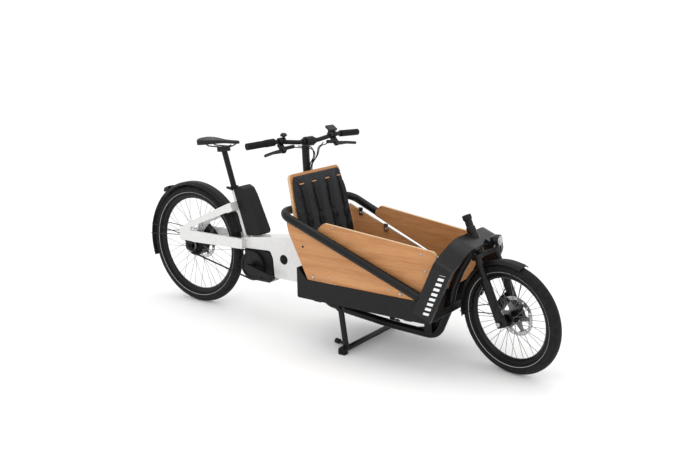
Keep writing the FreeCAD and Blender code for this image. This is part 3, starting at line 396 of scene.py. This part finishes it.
def toothed_belt(name):
    """Black belt rubber with cross ribs for its teeth."""
    tooth_pitch = 0.011
    look = Look(name, Specular_IOR_Level=0.3)
    look.clouded((0.009, 0.009, 0.0095), 0.2, 60)
    x, _, _ = look.parts()
    look.rough(look.span(look.noise(80, 3), 0.3, 0.7, 0.55, 0.7))
    look.bump(look.waves(x, 2 * math.pi / tooth_pitch), 0.0008)
    return look.material


def clear_lens(name, colour):
    """Fluted clear plastic, switched off."""
    look = Look(name, Transmission_Weight=0.7, IOR=1.49, Emission_Strength=0.0)
    look.clouded(colour, 0.03)
    look.rough(look.span(look.noise(30, 3), 0.3, 0.7, 0.03, 0.09))
    look.bump(look.waves(look.parts()[1], 1400.0), 0.0002)
    return look.material


def finishes():
    """Paints every CAD node, and returns the materials by name."""
    black = (0.0048, 0.0048, 0.0052)
    paint_black = enamel("satin_black_paint", black, 0.32, 0.05)
    paint_white = enamel("white_paint", (0.71, 0.71, 0.70), 0.26, 0.4, drift=0.015, specular=0.5)
    alloy = enamel("black_anodised", (0.0055, 0.0055, 0.0060), 0.36, 0.0, 0.00002)
    plastic = moulded("black_plastic", (0.0068, 0.0068, 0.0072), 0.5)
    gloss = moulded("gloss_black_plastic", (0.0045, 0.0045, 0.0050), 0.2, 0.00002, 900, 0.35)
    rubber = moulded("black_rubber", (0.0075, 0.0075, 0.0075), 0.68, 0.0002, 900, 0.15)
    steel = brushed("brushed_steel", (0.5, 0.5, 0.51), 0.28)
    tray = moulded("box_tray", (0.0105, 0.0100, 0.0098), 0.52, 0.00012, 1100, 0.2)
    looks = {
        paint_white: ("seat_tube", "main_beam", "rear_stays"),
        paint_black: ("cargo_rail", "lower_tube", "tub_supports", "fork_upper", "fork_lower",
                      "kickstand", "steering_column", "column_housing", "rear_fender_stays"),
        alloy: ("rear_axle", "seat_clamp", "crank_set", "front_ring", "rear_rim", "front_rim",
                "handlebar", "brake_perches", "brake_lever_left", "brake_lever_right", "seat_post",
                "rear_caliper", "front_caliper"),
        plastic: ("battery", "battery_rail", "motor_housing", "rear_fender", "front_fender"),
        gloss: ("motor_covers", "headlight", "rear_light", "display", "bell"),
        rubber: ("beam_plugs", "kickstand_feet", "grips", "twist_shifter", "control_hoses"),
        steel: ("panel_fixings", "rear_sprocket", "front_axle"),
        tray: ("cargo_tub",),
        barred_hoop("hoop_paint"): ("front_hoop",),
        toothed_belt("belt_rubber"): ("drive_belt",),
        tyre("rear_tyre_rubber", False): ("rear_tyre",),
        tyre("front_tyre_rubber", True): ("front_tyre",),
        hub_and_spokes("rear_hub_metal", False, 0.0645): ("rear_hub",),
        hub_and_spokes("front_hub_metal", True, 0.0315): ("front_hub",),
        brake_disc("rear_disc_steel", False): ("rear_brake_disc",),
        brake_disc("front_disc_steel", True): ("front_brake_disc",),
        cloth("pad_fabric", (0.0205, 0.0215, 0.0250), 1800.0): ("back_pad",),
        cloth("webbing", (0.0065, 0.0065, 0.0070), 3000.0): ("harness_straps",),
        leather("saddle_cover", (0.0062, 0.0062, 0.0064)): ("saddle",),
    }
    off_middle = Vector((0, HOME.y, 0))
    side, taper = math.atan(SIDE_SLOPE), math.atan(WING_SLOPE)
    boards = {
        "side_panels": (bike(0, 229, 336) - off_middle, (0, math.cos(side), -math.sin(side)),
                        "X", ("side_panel_left", "side_panel_right")),
        "upper_panels": (bike(1085, 238.2, 0) - off_middle,
                         (math.sin(taper), math.cos(taper), 0), "X", ("upper_side_panels",)),
        "back_board": (BACK_FOOT, BACK_OUT, "Y", ("back_panel",)),
        "front_board": (bike(1597, 0, 340), (math.cos(HOOP_LEAN), 0, -math.sin(HOOP_LEAN)),
                        "Y", ("front_panel",)),
    }
    for name, (core, through, axis, members) in boards.items():
        looks[plywood(name, core, through, axis)] = members
    painted = set()
    for material, members in looks.items():
        for member in members:
            mesh = nodes[member].data
            mesh.materials.clear()
            mesh.materials.append(material)
            painted.add(member)
    missing = set(nodes) - painted
    if missing:
        raise RuntimeError(f"no finish for {sorted(missing)}")
    return {material.name: material for material in looks}


# --- mesh helpers -----------------------------------------------------------------------------

def new_piece(name, mesh, material, body, smooth=True):
    """An object with one material that rides on a body."""
    piece = bpy.data.objects.new(name, mesh)
    scene.collection.objects.link(piece)
    mesh.materials.append(material)
    if smooth:
        mesh.shade_smooth()
    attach(piece, body)
    return piece


def mesh_from(bm, name):
    """A named mesh with outward normals from a finished bmesh."""
    bmesh.ops.recalc_face_normals(bm, faces=bm.faces)
    mesh = bpy.data.meshes.new(name)
    bm.to_mesh(mesh)
    bm.free()
    return mesh


def bridge(bm, first, second):
    """Quads between two rings of the same count."""
    count = len(first)
    for k in range(count):
        bm.faces.new((first[k], first[(k + 1) % count], second[(k + 1) % count], second[k]))


def limited(value):
    """A value held between 0 and 1."""
    return min(1.0, max(0.0, value))


def powered(value, power):
    """A value raised to a power, keeping its sign: squares off an ellipse's cosine or sine."""
    return math.copysign(abs(value) ** power, value)


def turned_mesh(name, profile, at, axis, sides=32):
    """A lathed closed form from (radius, height) points, its axis along a direction."""
    bm = bmesh.new()
    rings = []
    for radius, height in profile:
        count = 1 if radius == 0 else sides
        rings.append([bm.verts.new((radius * math.cos(2 * math.pi * k / sides),
                                    radius * math.sin(2 * math.pi * k / sides), height))
                      for k in range(count)])
    for lower, upper in zip(rings, rings[1:]):
        for k in range(sides):
            corners = [lower[k % len(lower)], lower[(k + 1) % len(lower)],
                       upper[(k + 1) % len(upper)], upper[k % len(upper)]]
            corners = list(dict.fromkeys(corners))
            if len(corners) > 2:
                bm.faces.new(corners)
    mesh = mesh_from(bm, name)
    turn = Vector(axis).to_track_quat("Z", "Y").to_matrix().to_4x4()
    mesh.transform(Matrix.Translation(at) @ turn)
    return mesh


def closed_loft(name, rings):
    """A closed skin through rings of points, capped at both ends."""
    bm = bmesh.new()
    made = [[bm.verts.new(p) for p in ring] for ring in rings]
    for first, second in zip(made, made[1:]):
        bridge(bm, first, second)
    bm.faces.new(made[0])
    bm.faces.new(made[-1])
    return mesh_from(bm, name)


def applied(piece):
    """Freezes a piece's modifiers into its mesh."""
    depsgraph = bpy.context.evaluated_depsgraph_get()
    fresh = bpy.data.meshes.new_from_object(piece.evaluated_get(depsgraph))
    piece.modifiers.clear()
    piece.data = fresh


def inflate(piece, voxel, cap, pinned):
    """Swells a closed form like stuffed fabric.

    No point moves further than cap, and points for which pinned is true are held.
    """
    last_frame = 20
    remesh = piece.modifiers.new("remesh", "REMESH")
    remesh.mode, remesh.voxel_size = "VOXEL", voxel
    applied(piece)
    start = np.array([v.co for v in piece.data.vertices], float)
    group = piece.vertex_groups.new(name="held")
    group.add([v.index for v in piece.data.vertices if pinned(v.co)], 1.0, "REPLACE")
    soft = piece.modifiers.new("cloth", "CLOTH")
    soft.settings.quality = 5
    soft.settings.use_pressure = True
    soft.settings.uniform_pressure_force = 4.0
    soft.settings.effector_weights.gravity = 0
    soft.settings.vertex_group_mass = "held"
    soft.point_cache.frame_start, soft.point_cache.frame_end = 1, last_frame
    for step in range(1, last_frame + 1):
        scene.frame_set(step)
    applied(piece)
    scene.frame_set(1)
    # The step each point took, cut back to the cap.
    moved = np.array([v.co for v in piece.data.vertices], float) - start
    size = np.linalg.norm(moved, axis=1, keepdims=True)
    moved *= np.minimum(1.0, cap / np.maximum(size, 1e-9))
    piece.data.vertices.foreach_set("co", (start + moved).ravel())
    piece.data.update()


# --- padded back rest and straps --------------------------------------------------------------

def on_back(side, up, out):
    """A point from the back board's foot: left, up along the board, and out from its middle."""
    return BACK_FOOT + Vector((0, side, 0)) + BACK_UP * up + BACK_OUT * out


def pad_half(up):
    """Half the pad's width at a height up the board: widest at the shoulder, rounded above it."""
    shoulder, widest = 0.30, 0.210
    if up < shoulder:
        return 0.206 + 0.004 * (up - 0.096) / 0.204
    return widest - 0.024 * ((up - shoulder) / 0.186) ** 2


def back_rest(looks):
    """Stuffed pad with four sunk channels, swollen by a cloth simulation, then quilted."""
    rows, columns, seam_inset, end_inset = 24, 33, 0.004, 0.008
    back, front, end_thinning, held_below = 0.0095, 0.0265, 0.004, 0.0125
    rings = []
    for k in range(rows + 1):
        up = PAD_FOOT + (PAD_TOP - PAD_FOOT) * k / rows
        half, thin = pad_half(up) - seam_inset, 0.0
        if k in (0, rows):
            half, thin = half - end_inset, end_thinning
        row = [on_back(s, up, back + thin * 0.5) for s in np.linspace(-half, half, columns)]
        row += [on_back(s, up, front - thin) for s in np.linspace(half, -half, columns)]
        rings.append(row)
    mesh = closed_loft("back_rest", rings)
    pad = new_piece("back_rest", mesh, looks["pad_fabric"], "frame")
    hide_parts("back_pad")
    flat = (BACK_FOOT + BACK_OUT * held_below).dot(BACK_OUT)
    inflate(pad, 0.0055, 0.007, lambda p: Vector(p).dot(BACK_OUT) < flat)
    # The front face sinks under each strap, dips at the two seams beside it, and creases a little.
    channel_half, channel_depth, seam_depth, crease_depth = 0.026, 0.0055, 0.0022, 0.0012
    for v in pad.data.vertices:
        local = v.co - BACK_FOOT
        side, up, out = local.y, local.dot(BACK_UP), local.dot(BACK_OUT)
        if out > 0.018:
            near = min(abs(side - s) for s in STRAPS)
            ends = limited((up - 0.115) / 0.03) * limited((0.472 - up) / 0.02)
            channel = max(0.0, 1 - (near / channel_half) ** 2) * ends
            seam = math.exp(-((near - 0.028) / 0.0035) ** 2) * ends
            crease = noise.noise(Vector((side * 22, up * 9, 0))) * crease_depth
            v.co -= BACK_OUT * (channel_depth * channel + seam_depth * seam + crease)
        v.co -= BACK_OUT * max(0.0, (v.co - BACK_FOOT).dot(BACK_OUT) - PAD_FRONT)
        v.co += BACK_OUT * max(0.0, PAD_BACK - (v.co - BACK_FOOT).dot(BACK_OUT))
    fine = pad.modifiers.new("smooth", "SUBSURF")
    fine.levels = fine.render_levels = 1


def ribbon(name, path, width, thick, material):
    """A flat band on the back board through (side, up, out, share of the width) points."""
    across = (-1, -0.92, 0, 0.92, 1)
    section = [(s, -1) for s in across] + [(s, 1) for s in reversed(across)]
    rings = []
    for side, up, out, share in path:
        half = width / 2 * share
        rings.append([on_back(side + sx * half, up, out + sz * thick / 2) for sx, sz in section])
    return new_piece(name, closed_loft(name, rings), material, "frame")


def harness(looks):
    """Four shoulder straps hanging from sewn slots, each with a pad sleeve and two adjusters."""
    webbing, plastic, wood = looks["webbing"], looks["black_plastic"], looks["back_board"]
    steps, webbing_thick, sleeve_width, sleeve_thick = 27, 0.0018, 0.036, 0.0075
    for k, side in enumerate(STRAPS):
        # Straps hang slightly aside, to the left and to the right by turns.
        sway = 0.004 * (-1) ** k
        path = []
        for t in (j / steps for j in range(steps + 1)):
            out = 0.0335 + 0.0030 * math.sin(2.2 * math.pi * t + k) + 0.004 * min(1, 6 * t)
            path.append((side + sway * math.sin(3.0 * t + k), STRAP_TOP - STRAP_DROP * t, out,
                         1.0))
        strap = ribbon(f"strap_{k + 1}", path, WEBBING_WIDTH, webbing_thick, webbing)
        if k == 0:
            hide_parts("harness_straps")
        # The sleeve lies over the strap's upper part and narrows at both ends.
        path = [(side + sway * math.sin(3.0 * t + k), 0.418 - 0.122 * t,
                 0.0385 + 0.0028 * math.sin(math.pi * t),
                 0.8 + 0.2 * math.sin(math.pi * t) ** 0.5) for t in np.linspace(0, 1, 14)]
        sleeve = ribbon(f"strap_sleeve_{k + 1}", path, sleeve_width, sleeve_thick, webbing)
        round_off = sleeve.modifiers.new("round", "SUBSURF")
        round_off.levels = round_off.render_levels = 2
        for up in (0.255, 0.185):
            buckle(f"adjuster_{k + 1}_{int(up * 1000)}", side + sway, up, 0.0405, plastic)
        slot_frame(f"strap_slot_{k + 1}", side, 0.4435, wood)


def buckle(name, side, up, out, material):
    """A ladder-lock adjuster: a rounded frame with two crossbars."""
    corner, round_radius, bar_half = 0.013, 0.005, 0.0115
    outline = []
    for sx, sz, start in ((1, 1, 0), (-1, 1, 90), (-1, -1, 180), (1, -1, 270)):
        for step in range(5):
            a = math.radians(start + 22.5 * step)
            outline.append((sx * corner + round_radius * math.cos(a),
                            sz * corner + round_radius * math.sin(a)))
    bm = bmesh.new()
    loops = [[bm.verts.new(on_back(side + u * g, up + w * g, out + z)) for u, w in outline]
             for z, g in ((-0.0028, 1.0), (0.0017, 1.0), (0.0028, 0.93), (0.0028, 0.62),
                          (-0.0028, 0.62))]
    for first, second in zip(loops, loops[1:] + loops[:1]):
        bridge(bm, first, second)
    new_piece(name, mesh_from(bm, name), material, "frame", smooth=False)
    for j, lift in enumerate((-0.004, 0.005)):
        rings = [[on_back(side + dx, up + lift + 0.0022 * math.cos(a),
                          out + 0.0016 + 0.0018 * math.sin(a))
                  for a in np.linspace(0, 2 * math.pi, 9)[:-1]]
                 for dx in (-bar_half, 0.0, bar_half)]
        new_piece(f"{name}_bar_{j}", closed_loft(f"{name}_bar_{j}", rings), material, "frame")


def slot_frame(name, side, up, wood):
    """The sewn slot that a strap comes through, with the board showing in it."""
    rings = []
    for half, high, out in ((0.0165, 0.0030, 0.0325), (0.0165, 0.0030, 0.0346),
                            (0.0155, 0.0022, 0.0351)):
        rings.append([on_back(side + half * powered(math.cos(a), 0.35),
                              up + high * powered(math.sin(a), 0.6), out)
                      for a in np.linspace(0, 2 * math.pi, 33)[:-1]])
    new_piece(name, closed_loft(name, rings), wood, "frame", smooth=False)


# --- saddle -----------------------------------------------------------------------------------

def saddle(looks):
    """A sport saddle: long nose, flared tail, a shallow groove along the middle.

    plan gives half the width at each x, from tail to nose. All measures are the drawing's mm.
    """
    tail, nose, widest, base, sides = 88, 344, 74, 919.5, 36
    plan = ((88, 46), (93, 62), (104, 71), (122, 74), (140, 71.5), (160, 64), (182, 53), (204, 40),
            (226, 29.5), (250, 23.5), (280, 20), (308, 18), (330, 15.5), (344, 11))
    rings = []
    for x, half in plan:
        t = (x - tail) / (nose - tail)
        top = 938 + 3.0 * (1 - t) ** 2 - 2.0 * math.sin(math.pi * t) - (3 if x > 336 else 0)
        edge = top - 8 - 10 * (half / widest)
        skirt = 902 + 18 * min(1, 1.5 * t) + (3 if x < 90 else 0)
        ring = []
        groove = 3.2 * min(1, 1.4 * math.sin(math.pi * min(t * 1.1, 1)))
        for k in range(sides):
            a = 2 * math.pi * k / sides
            s = math.sin(a)
            y = half * powered(math.cos(a), 0.7)
            if s >= 0:
                z = edge + (top - edge) * s ** 0.62 - max(groove * math.exp(-(y / 9) ** 2), 0)
            else:
                share = limited((abs(y) / half - 0.52) / 0.3)
                under = base + (skirt - base) * share * share * (3 - 2 * share)
                z = edge + (min(under, edge - 2) - edge) * min(1.0, 2.4 * abs(s))
            ring.append(bike(x, y, z))
        rings.append(ring)
    mesh = closed_loft("saddle_shell", rings)
    piece = new_piece("saddle_shell", mesh, looks["saddle_cover"], "seat")
    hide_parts("saddle")
    fine = piece.modifiers.new("smooth", "SUBSURF")
    fine.levels = fine.render_levels = 2


# --- hoses ------------------------------------------------------------------------------------

def control_hoses(looks):
    """Two brake hoses and two cables that loop forward of the bar and enter the column's guide."""
    top = (COLUMN_TOP - HOME) * 1000

    def beside(height, forward):
        """A point's x forward of the column at a height, in the drawing's mm."""
        return top.x + COLUMN_UP.x * (height - top.z) / COLUMN_UP.z + forward

    clamp_x = beside(966, 30)
    # Each one's start along the bar, its loop's reach forward of the clamp, and its loop's sag.
    runs = ((-120, 64, 60), (-80, 52, 36), (112, 58, 30), (80, 46, 50))
    for k, (start_y, out, drop) in enumerate(runs):
        sign = 1 if start_y > 0 else -1
        points = [(clamp_x + 15, start_y, 952.5), (clamp_x + 45, start_y - sign * 34, 946.5),
                  (clamp_x + out, sign * 20, 956 - drop * 0.3),
                  (clamp_x + out - 6, sign * 8 + k * 3, 905 - drop * 0.3),
                  (beside(852, 28), k * 7 - 10, 852), (beside(790, 25), k * 9 - 13, 790),
                  (beside(711, 26), k * 9 - 13, 711.2)]
        curve = bpy.data.curves.new(f"hose_{k + 1}", "CURVE")
        curve.dimensions = "3D"
        spline = curve.splines.new("NURBS")
        spline.points.add(len(points) - 1)
        for control, p in zip(spline.points, points):
            control.co = (*(BAR_TURN @ bike(*p)), 1)
        spline.order_u = 3
        spline.use_endpoint_u = True
        curve.resolution_u = 12
        curve.bevel_depth, curve.bevel_resolution = HOSE_RADIUS, 4
        curve.use_fill_caps = True
        hose = bpy.data.objects.new(f"hose_{k + 1}", curve)
        scene.collection.objects.link(hose)
        curve.materials.append(looks["black_rubber"])
        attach(hose, "steering")
        if k == 0:
            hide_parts("control_hoses")


# --- small details ----------------------------------------------------------------------------

def lamp_glass():
    """The headlight's reflector bowl and its domed lens, as (radius, height) profiles."""
    lens = clear_lens("lamp_lens", (0.85, 0.87, 0.9))
    mirror = brushed("lamp_reflector", (0.86, 0.86, 0.87), 0.14)
    bowl = [(0.0, 0.0125), (0.008, 0.0135), (0.0145, 0.0160), (0.0195, 0.0185),
            (0.0205, 0.0200), (0.0213, 0.0185), (0.0205, 0.0150), (0.010, 0.0118), (0.0, 0.0112)]
    dome = [(0.0, 0.0236), (0.010, 0.0232), (0.018, 0.0218), (0.0212, 0.0200),
            (0.0212, 0.0188), (0.018, 0.0206), (0.010, 0.0220), (0.0, 0.0224)]
    for name, profile, material in (("headlight_reflector", bowl, mirror),
                                    ("headlight_lens", dome, lens)):
        mesh = turned_mesh(name, profile, LAMP_CENTRE, (1, 0, 0))
        new_piece(name, mesh, material, "frame")


def screws(looks):
    """Domed screw heads on the boards, beside the rail and at the hoop."""
    steel, dark = looks["brushed_steel"], looks["black_anodised"]
    dome = [(0.0, 0.0030), (0.0026, 0.0028), (0.0048, 0.0018), (0.0056, 0.0002), (0.0056, -0.0006),
            (0.0, -0.0006)]
    taper = math.atan(WING_SLOPE)
    for sign, hand in ((-1, "right"), (1, "left")):
        for j, (x, z) in enumerate(((1590, 545), (1612, 470), (1130, 608))):
            y = 238.2 - WING_SLOPE * (x - 1085) + SCREW_SEAT
            name = f"board_screw_{hand}_{j + 1}"
            mesh = turned_mesh(name, dome, bike(x, sign * y, z),
                               (math.sin(taper), sign * math.cos(taper), 0), 20)
            new_piece(name, mesh, steel, "frame")
        for j, (x, z) in enumerate(((960, 500), (1110, 372), (1440, 366))):
            y = 229 + SIDE_SLOPE * (z - 336) + SCREW_SEAT
            name = f"side_screw_{hand}_{j + 1}"
            mesh = turned_mesh(name, dome, bike(x, sign * y, z), (0, sign, 0), 20)
            new_piece(name, mesh, dark if j == 0 else steel, "frame")


camera()
studio()
made = finishes()
control_hoses(made)
back_rest(made)
harness(made)
saddle(made)
lamp_glass()
screws(made)
